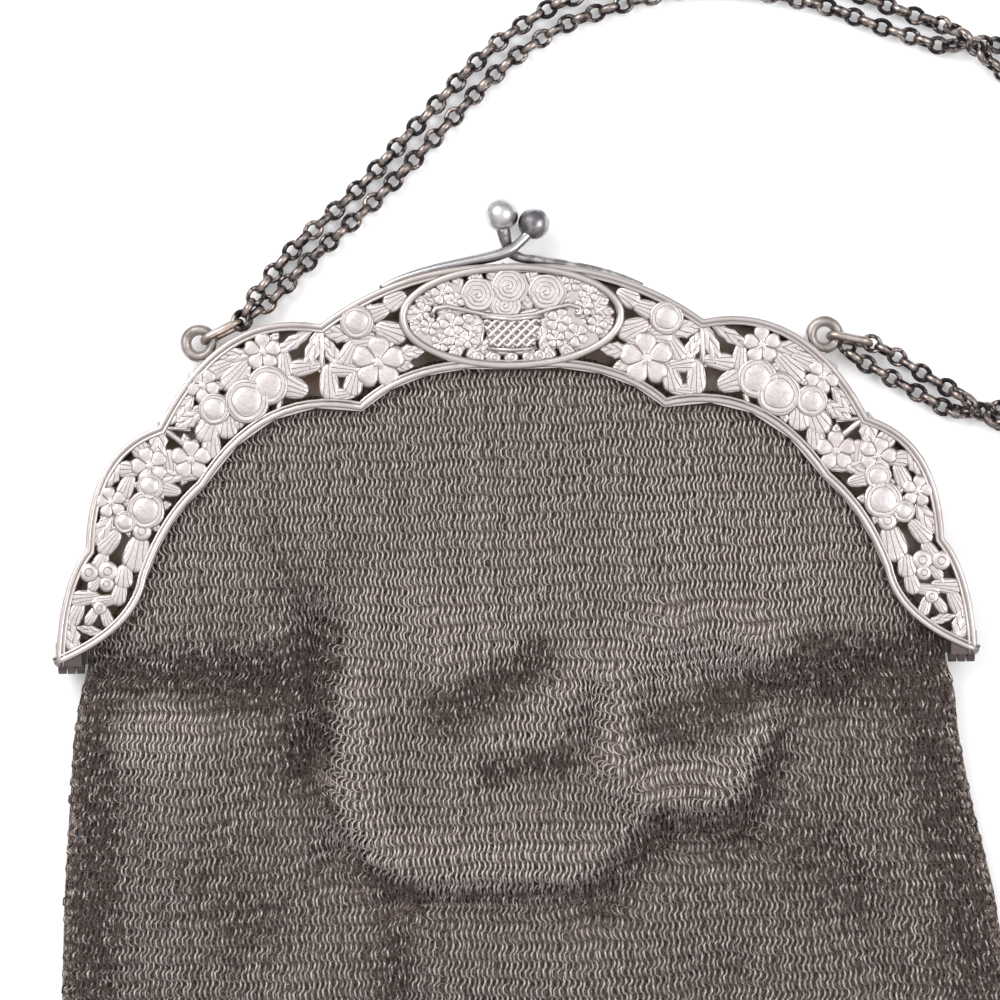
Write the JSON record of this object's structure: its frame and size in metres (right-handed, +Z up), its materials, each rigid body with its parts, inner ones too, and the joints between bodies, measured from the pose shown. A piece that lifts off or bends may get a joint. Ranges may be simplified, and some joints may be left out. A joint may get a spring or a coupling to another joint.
{
  "type": "metal mesh purse",
  "caption": "Soft ring-mesh purse on a hinged frame with pierced floral relief, a two-ball snap clasp and a double chain handle, lying on its back.",
  "frame": {"origin": "on the resting face of the back plate, under the middle of the oval ring", "axes": "+X across the frame, +Y from the bag towards the clasp, +Z up out of the front face"},
  "size_m": [0.189, 0.2339, 0.0132],
  "materials": {
    "front_metal": "pierced and chased silver, worn bright on the raised work",
    "back_metal": "plain silver, warmer and duller",
    "pin_metal": "dull silver",
    "clasp_metal": "polished silver",
    "link_metal": "warm bright silver",
    "chain_metal": "darkened silver",
    "mesh_metal": "fine linked rings of silver wire"
  },
  "bodies": {
    "root": {"frame_front": "front_metal", "frame_back": "back_metal", "hinge_pin_left": "pin_metal", "hinge_pin_right": "pin_metal", "clasp_front": "clasp_metal", "clasp_back": "clasp_metal", "end_link_left": "link_metal", "end_link_right": "link_metal", "chain_strand_left": "chain_metal", "chain_strand_right": "chain_metal", "mesh_bag": "mesh_metal"}
  },
  "joints": []
}
